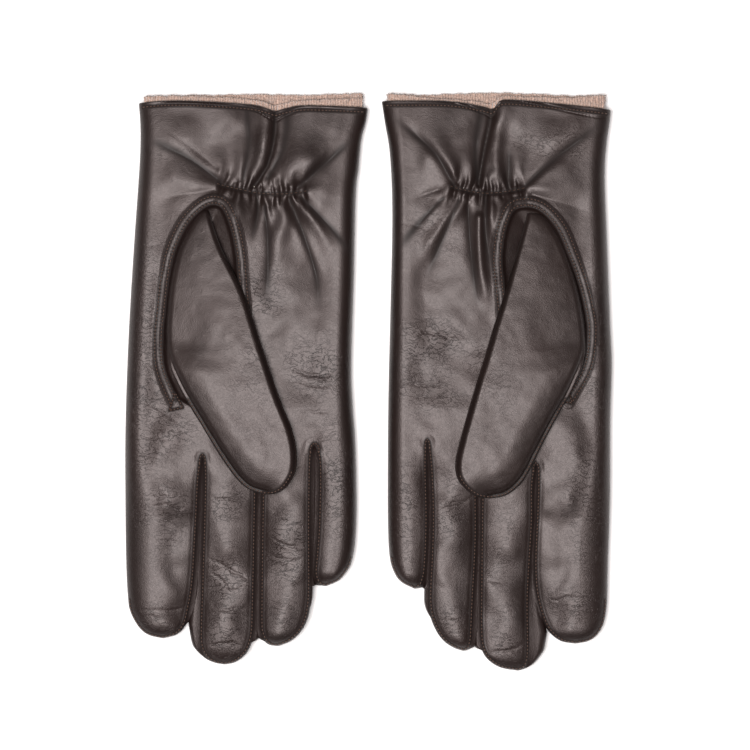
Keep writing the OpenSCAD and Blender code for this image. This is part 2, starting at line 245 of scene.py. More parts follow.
# Creases of the leather where the hand bends: points, depth and width.
CREASES = {
    "right": [
        ([(-49, 60), (-38, 62)], 0.4, 1.0), ([(-50, 8), (-34, 4)], 0.3, 0.9),
        ([(-50, -8), (-36, -12), (-24, -22)], 0.35, 1.0), ([(-50, -24), (-30, -25)], 0.25, 0.9),
        ([(20, 8), (34, 5), (49, 8)], 0.6, 1.6), ([(22, 2), (36, 0), (49, 3)], 0.4, 1.0),
        ([(26, -12), (38, -11), (49, -8)], 0.35, 1.1),
        ([(-47, -50), (-34, -51), (-21, -49)], 0.4, 0.7),
        ([(-46, -56), (-32, -55), (-22, -57)], 0.35, 0.7), ([(-45, -70), (-22, -72)], 0.3, 0.8),
        ([(-13, -51), (-3, -51.5), (6, -53)], 0.55, 0.7),
        ([(-13, -78), (-2, -84), (5, -87)], 0.6, 1.0),
        ([(-13, -82), (-4, -90), (5, -89)], 0.4, 0.9),
        ([(-14, -99), (-3, -101), (6, -99)], 0.5, 1.0),
        ([(-14, -117), (-4, -116), (3, -118)], 0.7, 0.9),
        ([(12, -68), (20, -71), (31, -73)], 0.55, 0.9),
        ([(13, -56), (24, -60)], 0.35, 0.9), ([(12, -75), (24, -78), (31, -76)], 0.35, 0.9),
        ([(38, -46), (51, -50)], 0.3, 0.8), ([(38, -58), (51, -57)], 0.3, 0.8),
        ([(-47, -99), (-36, -102), (-24, -101)], 0.9, 1.0), ([(-45, -103), (-28, -106)], 0.4, 1.2),
    ],
    "left": [
        ([(47, 76), (30, 70)], 0.4, 1.2), ([(46, 20), (30, 24), (14, 19)], 0.45, 1.1),
        ([(47, 3), (32, 0), (18, 4)], 0.4, 1.1), ([(47, -6), (30, -5)], 0.3, 1.0),
        ([(-50, 6), (-38, 4)], 0.3, 0.9), ([(-50, -12), (-36, -14)], 0.3, 0.9),
        ([(-46, -52), (-30, -54)], 0.35, 0.8), ([(-48, -62), (-34, -60)], 0.3, 0.8),
        ([(-45, -98.5), (-32, -96.5), (-20, -98)], 0.6, 0.8),
        ([(-46, -100), (-36, -100.5)], 0.4, 0.7),
        ([(28, -54), (20, -53), (12, -50)], 0.5, 0.8), ([(46, -50), (34, -54)], 0.35, 0.8),
        ([(46, -66), (35, -68)], 0.3, 0.9), ([(5, -120), (-4, -119), (-10, -117)], 0.7, 1.0),
        ([(7, -88), (-5, -90)], 0.3, 0.9), ([(30, -104), (20, -106), (15, -105)], 0.5, 0.9),
    ],
}
# The seam that sets the thumb into the palm runs along its outer side, over its top and down
# its inner side; the quirk is the small gusset at its foot.
THUMB_SEAM = {
    "right": [(-30, -9), (-36.5, 6), (-37.6, 21), (-36.6, 34), (-35.4, 47), (-32.8, 60),
              (-27.6, 71.8), (-21, 79.4), (-14.6, 82.6), (-8.6, 80.6), (-4.2, 71.5),
              (-1.4, 60), (0.2, 45), (1.5, 30), (0, 12)],
    "left": [(-32, -9), (-41, 6), (-43.8, 22), (-42.6, 34), (-39.8, 46), (-35.4, 59),
             (-30.4, 70.8), (-22.5, 79.4), (-14, 81.6), (-7.6, 79), (-3.6, 70),
             (-1.6, 58), (-2.2, 45), (-3.4, 32), (-5, 14)],
}
ELASTIC = {
    "right": [(-13, 90), (-2, 87.5), (8, 86), (18, 86), (28, 87.5)],
    "left": [(-15, 88), (-6, 86.5), (2, 86), (10, 87), (19, 89.5)],
}
QUIRK = {
    "right": [(-33, -13.5), (-29.5, -2.5), (-24.5, -11.5)],
    "left": [(-35, -10), (-32, 1), (-26.5, -9)],
}
# The folded thumb: its outer side and its inner fold, both from its peak to its tip. The two
# sides of the web, the tube under it, run from the cuff's end on.
THUMB = {
    "right": {
        "outer": [(-16.2, 78.4), (-20.5, 76), (-26, 69), (-30.8, 58), (-33.4, 45), (-34.6, 32),
                  (-34.8, 20), (-33, 10.5), (-26.6, -3), (-18.6, -16), (-10.8, -28.2),
                  (-4.3, -37.6), (0, -42.8), (5, -46.8), (12, -49)],
        "inner": [(-16.2, 78.4), (-12.8, 68), (-8.8, 58.5), (0, 41.4), (7.1, 21), (12.4, 6),
                  (17.6, -8), (22.4, -19), (24.8, -29), (24.6, -38), (21, -45), (16.6, -48.2),
                  (12, -49)],
        "web": ([(-27.8, 57), (-30.7, 45), (-31.8, 30), (-30.4, 18)],
                [(-11.6, 57), (-8, 40), (-5, 17)]),
    },
    "left": {
        "outer": [(-15.6, 76.6), (-22, 75.4), (-28.6, 68.4), (-33.4, 58), (-37.8, 44),
                  (-40.6, 30), (-41.4, 18), (-40, 11), (-33.4, -3.7), (-26.8, -14.8),
                  (-20.3, -26.3), (-13.2, -39.6), (-8.6, -45.6), (-3, -49.6), (4, -51)],
        "inner": [(-15.6, 76.6), (-11, 61), (-5.6, 43), (-0.2, 26.7), (4.4, 12), (9.4, -3),
                  (15.2, -22), (18.2, -34), (17.6, -41.4), (14, -46.4), (9.4, -49.6), (4, -51)],
        "web": ([(-27.8, 56), (-30.8, 45), (-33.8, 31), (-35, 18)],
                [(-12.5, 55), (-10.5, 38), (-9, 16)]),
    },
}
# Where the leather is finely creased: centre, reach and how much.
CRINKLED = {
    "right": [(-44, 5, 9, 50, 0.7), (-36, -25, 14, 12, 0.6), (-33, -60, 14, 16, 0.55),
              (-4, -86, 9, 14, 1.0), (-5, -112, 9, 12, 0.9), (-4, -54, 10, 8, 0.5),
              (22, -74, 9, 16, 0.8), (22, -102, 8, 10, 0.6), (45, -40, 9, 30, 0.6),
              (34, 8, 14, 14, 0.6), (-30, 100, 12, 7, 0.3), (-35, -106, 12, 7, 0.5),
              (8, 42, 9, 16, 0.6), (10, 105, 9, 8, 0.3), (5, 5, 10, 25, 0.3)],
    "left": [(30, 20, 16, 10, 0.8), (30, 0, 16, 12, 0.5), (-40, -55, 8, 30, 0.7),
             (-34, -100, 14, 9, 0.6), (-47, 10, 7, 40, 0.6), (22, -55, 8, 16, 0.6),
             (23, -106, 8, 9, 0.7), (0, -80, 9, 30, 0.35), (-2, -118, 9, 9, 0.6),
             (41, -60, 8, 22, 0.5), (-28, 108, 16, 8, 0.5), (25, 70, 10, 12, 0.5),
             (5, 5, 12, 25, 0.3)],
}


# ---- curves, noise and smooth steps ------------------------------------------------------

def unit(vectors):
    """Each row of vectors at length 1."""
    return vectors / np.maximum(np.linalg.norm(vectors, axis=1), 1e-9)[:, None]


def lengths(line):
    """How far along a line each of its points is."""
    return np.r_[0, np.cumsum(np.linalg.norm(np.diff(line, axis=0), axis=1))]


def resample(line, at):
    """The points of a line at the given distances along it."""
    along = lengths(line)
    return np.column_stack([np.interp(at, along, values) for values in line.T])


def smooth(points, count=160):
    """Evenly spaced points on a smooth curve through the given ones."""
    p = np.array(points, float)
    ends = np.vstack([2 * p[0] - p[1], p, 2 * p[-1] - p[-2]])
    t = np.linspace(0, 1, 24, endpoint=False)[:, None]
    spans = [b + 0.5 * t * (c - a + t * (2 * a - 5 * b + 4 * c - d + t * (3 * b - a - 3 * c + d)))
             for a, b, c, d in zip(ends, ends[1:], ends[2:], ends[3:])]
    line = np.vstack(spans + [p[-1:]])
    return resample(line, np.linspace(0, lengths(line)[-1], count))


def by_y(points):
    """x as a function of y along a smooth curve."""
    line = smooth(points, 600)
    order = np.argsort(line[:, 1], kind="stable")
    return lambda y: np.interp(y, line[order, 1], line[order, 0])


def by_x(points):
    """y as a function of x along a smooth curve."""
    line = smooth(points, 300)
    return lambda x: np.interp(x, line[:, 0], line[:, 1])


def ramp(v, low, high):
    """0 below low, 1 above high, smooth between."""
    t = np.clip((np.asarray(v, float) - low) / (high - low), 0, 1)
    return t * t * (3 - 2 * t)


def dome(t):
    """The height of a quarter circle, 0 at t = 0 and 1 from t = 1 on."""
    return np.sqrt(1 - (1 - np.clip(t, 0, 1)) ** 2)


def bump(v, width):
    return np.exp(-(v / width) ** 2)


def dents(along):
    """Depth of a seam's line of stitch dents."""
    return 0.45 + 0.4 * np.cos(2 * np.pi * along / STITCH)


def squarish(turn, power):
    """Cosine and sine of a ring that is squarer than an ellipse."""
    return [np.sign(v) * np.abs(v) ** power for v in (np.cos(turn), np.sin(turn))]


def level(rows, count):
    """A grid's y, the same across each row."""
    return np.repeat(rows[:, None], count, 1)


def noise(x, y, size, seed):
    """Smooth noise from -1 to 1 with lumps of about the given size."""
    total = 0
    for turn in (0.6, 1.9):
        grid = np.random.default_rng(seed + int(10 * turn)).uniform(-1, 1, (64, 64))
        c, s = math.cos(turn + seed), math.sin(turn + seed)
        u, v = (x * c + y * s) / size + 31.7, (y * c - x * s) / size + 12.3
        i, j = np.floor(u).astype(int), np.floor(v).astype(int)
        a, b = u - i, v - j
        a, b = a ** 3 * (a * (6 * a - 15) + 10), b ** 3 * (b * (6 * b - 15) + 10)
        low = grid[i % 64, j % 64] * (1 - a) + grid[(i + 1) % 64, j % 64] * a
        high = grid[i % 64, (j + 1) % 64] * (1 - a) + grid[(i + 1) % 64, (j + 1) % 64] * a
        total = total + 0.7 * (low * (1 - b) + high * b)
    return total


def beside(x, y, points, count=14):
    """Signed distance of each place from a curve, and how far along the curve it is, 0 to 1."""
    line = smooth(points, count)
    best = np.full(x.shape, 1e9)
    side, along = np.ones(x.shape), np.zeros(x.shape)
    for k, (a, b) in enumerate(zip(line, line[1:])):
        d = b - a
        t = np.clip(((x - a[0]) * d[0] + (y - a[1]) * d[1]) / (d @ d), 0, 1)
        dx, dy = x - a[0] - t * d[0], y - a[1] - t * d[1]
        far = np.hypot(dx, dy)
        nearer = far < best
        best = np.where(nearer, far, best)
        side = np.where(nearer, np.sign(d[0] * dy - d[1] * dx), side)
        along = np.where(nearer, (k + t) / (count - 1), along)
    return best * np.where(side == 0, 1, side), along


# ---- the palm's relief -------------------------------------------------------------------

def elastic(side, x, y):
    """Distance from the elastic, how far along it a place is, and 1 where the elastic is."""
    d, t = beside(x, y, ELASTIC[side])
    return d, t, ramp(t, 0.0, 0.06) * (1 - ramp(t, 0.94, 1.0))


def folds(side, x, y):
    """The folds that the elastic draws into the palm side."""
    z = np.zeros(x.shape)
    for points, height, narrow, wide in FOLDS[side]:
        d, t = beside(x, y, points)
        width = narrow + (wide - narrow) * t
        across = bump(d, 1.7 * width) if height > 0 else np.exp(-np.abs(d / width) ** 1.2)
        z += 0.65 * height * (1 - ramp(t, 0.4, 1)) * across
    d, _, inside = elastic(side, x, y)
    return z - 1.6 * bump(d, 7) * inside


def hollow(side, x, y):
    """How close each place lies to the bottom of a fold, 0 to 1; this sets the painted shade in
    the folds' bottoms.
    """
    amount = np.zeros(x.shape)
    for points, height, narrow, wide in FOLDS[side]:
        if height < -1:
            d, t = beside(x, y, points)
            width = 0.55 * (narrow + (wide - narrow) * t)
            amount = np.maximum(amount, bump(d, width) * (1 - ramp(t, 0.6, 1)))
    return amount


def within(x, y, loop):
    """How deep each place lies inside a closed line, below 0 outside it."""
    d = np.abs(beside(x, y, loop, len(loop))[0])
    inside = np.zeros(x.shape, bool)
    for (ax, ay), (bx, by) in zip(loop, np.roll(loop, -1, 0)):
        if ay != by:
            crosses = (ay > y) != (by > y)
            inside ^= crosses & (x < ax + (y - ay) / (by - ay) * (bx - ax))
    return np.where(inside, d, -d)


def recess(side, x, y):
    """How far the palm sinks inside the thumb's seam, under the folded thumb."""
    seam = THUMB_SEAM[side]
    under = [(seam[-1][0] - 6, seam[-1][1] - 12), (seam[0][0] + 12, seam[0][1] - 4)]
    depth = within(x, y, smooth(seam + under + [seam[0]], 90)) - 2.4
    return 0.9 * ramp(depth, 0, 1.2) + 0.42 * np.clip(depth, 0, 8)


def relief(side, x, y):
    """How far the palm side of the leather stands above or below its plain shape."""
    z = folds(side, x, y)
    for points, depth, width in CREASES[side]:
        d, t = beside(x, y, points, 8)
        d = d + 0.9 * noise(x, y, 4, 5) + 0.4 * noise(x, y, 1.8, 6)
        z -= 0.55 * depth * np.sin(np.pi * np.clip(0.05 + 0.9 * t, 0, 1)) * bump(d, width * 0.6)
    d, t, inside = elastic(side, x, y)
    z -= 0.5 * bump(d, 1.0) * inside
    pleat = np.abs(np.sin(np.pi * (10 * t + 0.35 * noise(x, y, 6, 9))))
    z += 1.7 * bump(d, 5.0) * inside * (pleat ** 0.7 - 0.6)
    # the raised seam round the thumb, with its two rows of stitches
    d, t = beside(x, y, THUMB_SEAM[side], 60)
    z += 0.55 * (1 - ramp(np.abs(d), 1.9, 2.8))
    along = t * lengths(smooth(THUMB_SEAM[side], 60))[-1]
    z -= 0.6 * (bump(d - 1.4, 0.42) + bump(d + 1.4, 0.42)) * dents(along)
    z -= recess(side, x, y)
    z += 1.6 * noise(x, y, 30, 1) + 0.9 * noise(x, y, 13, 2) + 0.15 * noise(x, y, 6, 3)
    # the hem's edge and its row of stitches
    edge = by_x(CUFF_EDGE[side])(x)
    z -= bump(edge - y - 1.7, 0.45) * dents(x) * ramp(y, 110, 118)
    z += 0.45 * bump(edge - y - 0.5, 0.7) * ramp(y, 110, 118)
    return z


def thickness(y):
    """Height of the palm side over the back, before its relief."""
    return np.interp(y, [-130, -60, -36, -10, 40, 86, 110, 126],
                     [11.0, 12.0, 13.4, PALM_Z, PALM_Z, 13.4, 12.4, 11.0])


# ---- meshes and pieces ---------------------------------------------------------------------

class Shell:
    """Grids of points, joined into one surface, with the piece that each face belongs to."""

    def __init__(self):
        self.points, self.faces, self.tags = [], [], []

    def grid(self, tag, x, y, z, flip=False):
        """Adds a grid of faces. tag is one name, or one for each row of faces."""
        rows, cols = x.shape
        first = sum(len(p) for p in self.points)
        self.points.append(np.column_stack([x.ravel(), y.ravel(), z.ravel()]))
        k, j = np.meshgrid(np.arange(rows - 1), np.arange(cols - 1), indexing="ij")
        a = first + k * cols + j
        quad = np.stack([a, a + cols, a + cols + 1, a + 1], -1)
        if flip:
            quad = quad[..., ::-1]
        self.faces.append(quad.reshape(-1, 4))
        names = [tag] * (rows - 1) if isinstance(tag, str) else tag
        self.tags += [n for n in names for _ in range(cols - 1)]

    def weld(self):
        """Joins points that lie together, and works out each point's normal."""
        co = np.vstack(self.points)
        _, first, back = np.unique(np.round(co, 3) + 0.0, axis=0, return_index=True,
                                   return_inverse=True)
        self.co = co[first]
        self.quads = back.ravel()[np.vstack(self.faces)]
        p = self.co[self.quads]
        n = np.cross(p[:, 2] - p[:, 0], p[:, 3] - p[:, 1])
        self.normals = np.zeros(self.co.shape)
        for k in range(4):
            np.add.at(self.normals, self.quads[:, k], n)
        self.normals = unit(self.normals)
        self.tags = np.array(self.tags)

    def part(self, *names):
        """The points, faces and normals of the named pieces."""
        quads = self.quads[np.isin(self.tags, names)]
        used, back = np.unique(quads, return_inverse=True)
        faces = []
        for q in back.reshape(quads.shape).tolist():
            face = [v for v, w in zip(q, q[1:] + q[:1]) if v != w]
            if len(set(face)) == len(face) and len(face) > 2:
                faces.append(face)
        return self.co[used], faces, self.normals[used]


def closed_rings(rings, wrap=False):
    """Faces over rings of points, one ring a row; wrap also joins the last ring to the first."""
    rows, cols = rings.shape[:2]
    faces = []
    for k in range(rows if wrap else rows - 1):
        n = (k + 1) % rows
        for j in range(cols):
            m = (j + 1) % cols
            faces.append([k * cols + j, k * cols + m, n * cols + m, n * cols + j])
    return rings.reshape(-1, 3), faces


def join(*parts):
    """Several meshes, as points and faces, in one."""
    faces, first = [], 0
    for points, own in parts:
        faces += [[v + first for v in f] for f in own]
        first += len(points)
    return np.vstack([points for points, _ in parts]), faces


def placed(side, co):
    """Millimetres in the glove's own frame to metres in the pair's frame."""
    c, s = math.cos(YAW), math.sin(YAW)
    co = np.asarray(co, float)
    x = co[:, 0] * c + co[:, 1] * s - PITCH / 2
    y = -co[:, 0] * s + co[:, 1] * c + SHIFT_Y
    return np.column_stack([-x if side == "left" else x, y, co[:, 2]]) * MM


def turned(side, vectors):
    """Directions in the glove's own frame to directions in the pair's frame."""
    return (placed(side, vectors) - placed(side, np.zeros((1, 3)))) / MM


def mark(mesh, name, values):
    """Gives each point of a mesh a number that its material reads."""
    mesh.attributes.new(name, "FLOAT", "POINT").data.foreach_set(
        "value", np.asarray(values, np.float32))


def crinkle(side, x, y):
    """How finely creased the leather is, 0 to 1."""
    amount = np.zeros(len(x))
    for cx, cy, rx, ry, share in CRINKLED[side]:
        amount = np.maximum(amount, share * np.exp(-((x - cx) / rx) ** 2 - ((y - cy) / ry) ** 2))
    return np.clip(amount * (0.75 + 0.5 * noise(x, y, 7, 31)), 0, 1)


def piece(side, name, slot, co, faces, normals=None):
    """A mesh object of one glove, given in the glove's own frame."""
    if side == "left":
        faces = [f[::-1] for f in faces]
    mesh = bpy.data.meshes.new(f"{side}_{name}")
    mesh.from_pydata(placed(side, co).tolist(), [], faces)
    mesh.update()
    mesh.polygons.foreach_set("use_smooth", [True] * len(mesh.polygons))
    if normals is not None:
        mesh.normals_split_custom_set_from_vertices(turned(side, normals).tolist())
    obj = bpy.data.objects.new(f"{side}_{name}_skin", mesh)
    bpy.context.scene.collection.objects.link(obj)
    mesh.materials.append(MATERIALS[slot])
    if slot == "leather":
        mark(mesh, "crinkle", crinkle(side, co[:, 0], co[:, 1]))
        # painted shade in the folds' bottoms, on the hand's leather only
        mark(mesh, "hollow", hollow(side, co[:, 0], co[:, 1]) * (name == "trank"))
    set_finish(obj, slot)
    return obj


def rigid(side, name, slot, body, *mesh):
    """A piece that rides on one body and stands for the CAD node of the same name."""
    obj = piece(side, name, slot, *mesh)
    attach(obj, f"{side}_{body}")
    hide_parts(f"{side}_{name}")


def mark_painted_shade(leather, threads):
    """Marks where painted shade darkens the leather: right at each stitch, where the holes are,
    and along the folds' bottoms.
    """
    points = np.vstack([np.array([v.co for v in o.data.vertices]) for o in threads])
    tree = KDTree(len(points))
    for k, p in enumerate(points):
        tree.insert(p, k)
    tree.balance()
    for o in leather:
        far = np.array([tree.find(v.co)[2] for v in o.data.vertices]) / MM
        fold_shade_amount = np.zeros(len(far), np.float32)
        o.data.attributes["hollow"].data.foreach_get("value", fold_shade_amount)
        # the seam number is painted shade: 1 right by a stitch, fading out within 1 mm, and up to
        # 0.85 in a fold's bottom
        mark(o.data, "seam", np.maximum(1 - ramp(far, 0.3, 1.0), 0.85 * fold_shade_amount))


# ---- the leather shell -------------------------------------------------------------------

def spread(low, high, count, crowd=0.0):
    """Steps from low to high; crowd draws them towards both ends."""
    t = np.linspace(0, 1, count)
    t = t - crowd * np.sin(2 * np.pi * t) / (2 * np.pi)
    return low[:, None] + (high - low)[:, None] * t


def finger_rows(tip, start):
    """Values of y from start to the fingertip, closer together where it rounds off."""
    rounding = 9.0
    plain = np.arange(start, tip + rounding, -STEP)
    turn = np.linspace(0, np.pi / 2, 26)
    return np.r_[plain[:-1], tip + (plain[-1] - tip) * (1 - np.sin(turn))]


def build_shell(side):
    """The leather of one glove without its thumb. Returns the welded shell and its cuff loops."""
    shell, loops, outlines = Shell(), {}, OUTLINES[side]
    hand_y = np.arange(CUFF_Y, CUT_Y - STEP / 2, -STEP)
    low_side = by_y(outlines["index"]["low"])
    high_side = by_y(outlines["little"]["high"])
    edge = by_x(CUFF_EDGE[side])

    def shown(x, y):
        """y, moved so that the first row follows the cuff's edge."""
        return y + (edge(x) - CUFF_Y) * ramp(y, 100, CUFF_Y)

    for i, name in enumerate(FINGERS):
        o = outlines[name]
        tip = o["low"][-1][1]
        rows = np.r_[hand_y, finger_rows(tip, hand_y[-1] - STEP)]
        rims = [by_y(o["low"])(rows), by_y(o["high"])(rows)]
        above = [None, None]        # how far each side's slit has opened, where it has one
        for end, way in ((0, -1), (1, 1)):
            slit = i - 1 + end
            if 0 <= slit < 3:
                begin = CROTCHES[side][slit]
                middle = crotch_line(side, slit, rows)
                above[end] = np.sqrt(np.clip((begin - rows) / 4.0, 0, 1))
                own = rims[end] + way * WELT * ramp(rows, tip, tip + 8)
                rims[end] = np.where(rows >= begin, middle, middle + (own - middle) * above[end])
        low, high = rims
        closing = dome((rows - tip) / 7.5)
        reach, back_reach = (np.minimum(r, 0.42 * (high - low))
                             for r in (side_reach(rows), BACK_R))
        inner_low, inner_high = low + reach * (i == 0), high - reach * (i == 3)
        x = spread(inner_low, inner_high, int(np.max(inner_high - inner_low) / 0.55), 0.35)
        y = level(rows, x.shape[1])
        sides = low_side(rows)[:, None], high_side(rows)[:, None]
        z = top_height(side, i, x, y, rims, above, closing, sides)
        tags = ["trank"] * (len(hand_y) - 1) + [name + "_leather"] * (len(rows) - len(hand_y))
        shell.grid(tags, x, shown(x, y), z)
        # the back
        back_low, back_high = low + back_reach * (i == 0), high - back_reach * (i == 3)
        bx = spread(back_low, back_high, max(8, int(np.max(back_high - back_low) / 2.2)), 0.6)
        by = level(rows, bx.shape[1])
        bz = back_height(bx, by, rims, above, closing)
        shell.grid(tags, bx, shown(bx, by), bz, flip=True)
        # the round outer side, or a fourchette on each inner side
        for end, way in ((0, -1), (1, 1)):
            own = [grid[:, -end] for grid in (x, z, bx, bz)]
            if above[end] is None:
                side_x, side_z = outer_side(rims[end], *own)
                side_y = shown(side_x, level(rows, side_x.shape[1]))
                shell.grid(tags, side_x, side_y, side_z, flip=(end == 0))
                loops["side_high" if end else "side_low"] = (side_x[0], side_y[0], side_z[0])
                continue
            begin = CROTCHES[side][i - 1 + end]
            first = int(np.searchsorted(-rows, -begin)) - 1
            out = np.interp(rows, *np.array(sorted(o["wall_high" if end else "wall_low"])).T)
            other = outlines[FINGERS[i + way]]["low" if end else "high"]
            gap = np.abs(by_y(other)(rows) - rims[end])
            out = np.maximum(out - WELT, (gap / 2 + 0.5) * (1 - ramp(gap, 5, 8)))
            out = out * ramp(-rows, -begin, -begin + 1.5)
            wall_x, wall_z = fourchette(*(v[first:] for v in own), out[first:], way)
            shell.grid(name + "_fourchettes", wall_x, level(rows[first:], wall_x.shape[1]),
                       wall_z, flip=(end == 0))
        loops[name] = (x[0], shown(x, y)[0], z[0])
        loops[name + "_back"] = (bx[0], shown(bx, by)[0], bz[0])
        loops[name + "_edges"] = (rows, low, high)
    shell.weld()
    return shell, loops


def side_reach(y):
    """How far in from its outer sides the palm's leather begins to round down."""
    return SIDE_R + 5.5 * ramp(-y, 30, 70)


def crotch_line(side, slit, rows):
    """The line that two neighbouring fingers share up the palm, and that their slit follows."""
    a = by_y(OUTLINES[side][FINGERS[slit]]["high"])(rows)
    b = by_y(OUTLINES[side][FINGERS[slit + 1]]["low"])(rows)
    meet, begin = (a + b) / 2, CROTCHES[side][slit]
    return np.where(rows > begin, np.interp(begin, rows[::-1], meet[::-1]), meet)


def slit_distance(begin, x, y, rim):
    """Distance from a slit, whose upper end is round."""
    rows = y[:, 0]
    held = np.where(rows > begin, rim[np.argmin(np.abs(rows - begin))], rim)
    return np.hypot(x - held[:, None], np.maximum(rows - begin, 0)[:, None])


def top_height(side, i, x, y, rims, above, closing, sides):
    """Height of the palm side of strip i."""
    low, high = rims
    middle = (low + high)[:, None] / 2
    half = np.maximum((high - low)[:, None] / 2, 0.1)
    off = np.clip((x - middle) / half, -1 if above[0] is not None else 0,
                  1 if above[1] is not None else 0)
    z = thickness(y) + 2.1 * ramp(-y, 24, 60) * (1 - off ** 2)
    outer = np.minimum(x - sides[0], sides[1] - x) - side_reach(y)
    lift = relief(side, x, y) * (0.3 + 0.7 * ramp(outer, 0, 9))
    for end in (0, 1):
        if above[end] is not None:
            begin = CROTCHES[side][i - 1 + end]
            d = slit_distance(begin, x, y, rims[end])
            z = z - SEAM_DROP * (1 - dome(d / 2.6))
            z = z + 0.3 * bump(d - 0.75, 0.65) - 0.15 * bump(d - 2.1, 0.7)
            z = z - 0.5 * bump(d - SEAM_IN, 0.42) * dents(y)
            knob = 0.3 * bump(d - 1.8, 1.0) - 0.15 * bump(d - 3.8, 0.8)
            z = z + knob * bump(y - begin, 4)
    z = z + lift * ramp(closing[:, None], 0.1, 0.9)
    return MID_Z + (z - MID_Z) * closing[:, None]


def back_height(x, y, rims, above, closing):
    """Height of a strip's back."""
    z = np.maximum(0.25 + 0.2 * noise(x, y, 22, 7), 0.0)
    for opened, rim in zip(above, rims):
        if opened is not None:
            z = z + BACK_SEAM_Z * opened[:, None] * (1 - dome(np.abs(x - rim[:, None]) / 4.0))
    return MID_Z + (z - MID_Z) * closing[:, None]


def outer_side(rim, top_x, top_z, back_x, back_z, count=15):
    """The round side of the glove, from the palm's edge over the outline to the back's edge."""
    turn = np.linspace(0, np.pi / 2, count)
    halves = ((top_x, top_z, turn[::-1]), (back_x, back_z, turn[1:]))
    return (np.hstack([rim[:, None] + (x - rim)[:, None] * (1 - np.cos(t)) for x, _, t in halves]),
            np.hstack([MID_Z + (z - MID_Z)[:, None] * np.sin(t) for _, z, t in halves]))


def fourchette(top_x, top_z, back_x, back_z, out, sign, count=12):
    """A finger's side strip, bulging out between its two seams."""
    t = np.linspace(0, 1, count)[None, :]
    x = top_x[:, None] + (back_x - top_x)[:, None] * t
    x = x + sign * out[:, None] * np.sqrt(np.sin(np.pi * t))
    z = top_z[:, None] + (back_z - top_z)[:, None] * (1 - np.cos(np.pi * t)) / 2
    return x, z


# ---- materials ---------------------------------------------------------------------------

LEATHER_ROUGH = 0.47            # of the plain leather
SEAM_ROUGH = 0.9                # right at its stitches
LEATHER_TONES = (0.3, (0.0064, 0.0031, 0.0025, 1)), (0.75, (0.0118, 0.006, 0.0049, 1))
# colour of the painted shade round the stitches and in the folds' bottoms
PAINTED_SHADE_TONE = (0.003, 0.0015, 0.0012, 1)
KNIT_TONES = (0.3, (0.27, 0.168, 0.128, 1)), (0.7, (0.61, 0.436, 0.355, 1))


def new_material(name, colour, rough, **sockets):
    m = bpy.data.materials.new(name)
    m.use_nodes = True
    shader = m.node_tree.nodes["Principled BSDF"]
    shader.inputs["Base Color"].default_value = (*colour, 1)
    shader.inputs["Roughness"].default_value = rough
    for key, value in sockets.items():
        shader.inputs[key.replace("_", " ")].default_value = value
    return m


class Nodes:
    """Adds nodes to a material, each with its settings, values and links in one call."""

    def __init__(self, material):
        self.tree = material.node_tree
        self.shader = self.tree.nodes["Principled BSDF"]
        self.place = self.add("TexCoord").outputs["Object"]

    def fill(self, node, inputs):
        """Sets or links a node's inputs."""
        for key, value in inputs.items():
            if isinstance(value, bpy.types.NodeSocket):
                self.tree.links.new(value, node.inputs[key])
            else:
                node.inputs[key].default_value = value
        return node

    def add(self, kind, inputs=None, **settings):
        node = self.tree.nodes.new("ShaderNode" + kind)
        for key, value in settings.items():
            setattr(node, key, value)
        return self.fill(node, inputs or {})

    def texture(self, kind, output, inputs, **settings):
        """A texture's output, placed by the object's own coordinates."""
        inputs = {"Vector": self.place, **inputs}
        return self.add("Tex" + kind, inputs, **settings).outputs[output]

    def tones(self, fac, stops):
        """Colours blended by a number."""
        node = self.add("ValToRGB", {"Fac": fac})
        for element, (position, colour) in zip(node.color_ramp.elements, stops):
            element.position, element.color = position, colour
        return node.outputs["Color"]

    def bumps(self, *layers):
        """Layers of relief, each a height, a strength and a depth in metres."""
        below = {}
        for height, strength, distance in layers:
            node = self.add("Bump", {"Height": height, "Strength": strength,
                                     "Distance": distance, **below})
            below = {"Normal": node.outputs["Normal"]}
        self.fill(self.shader, below)


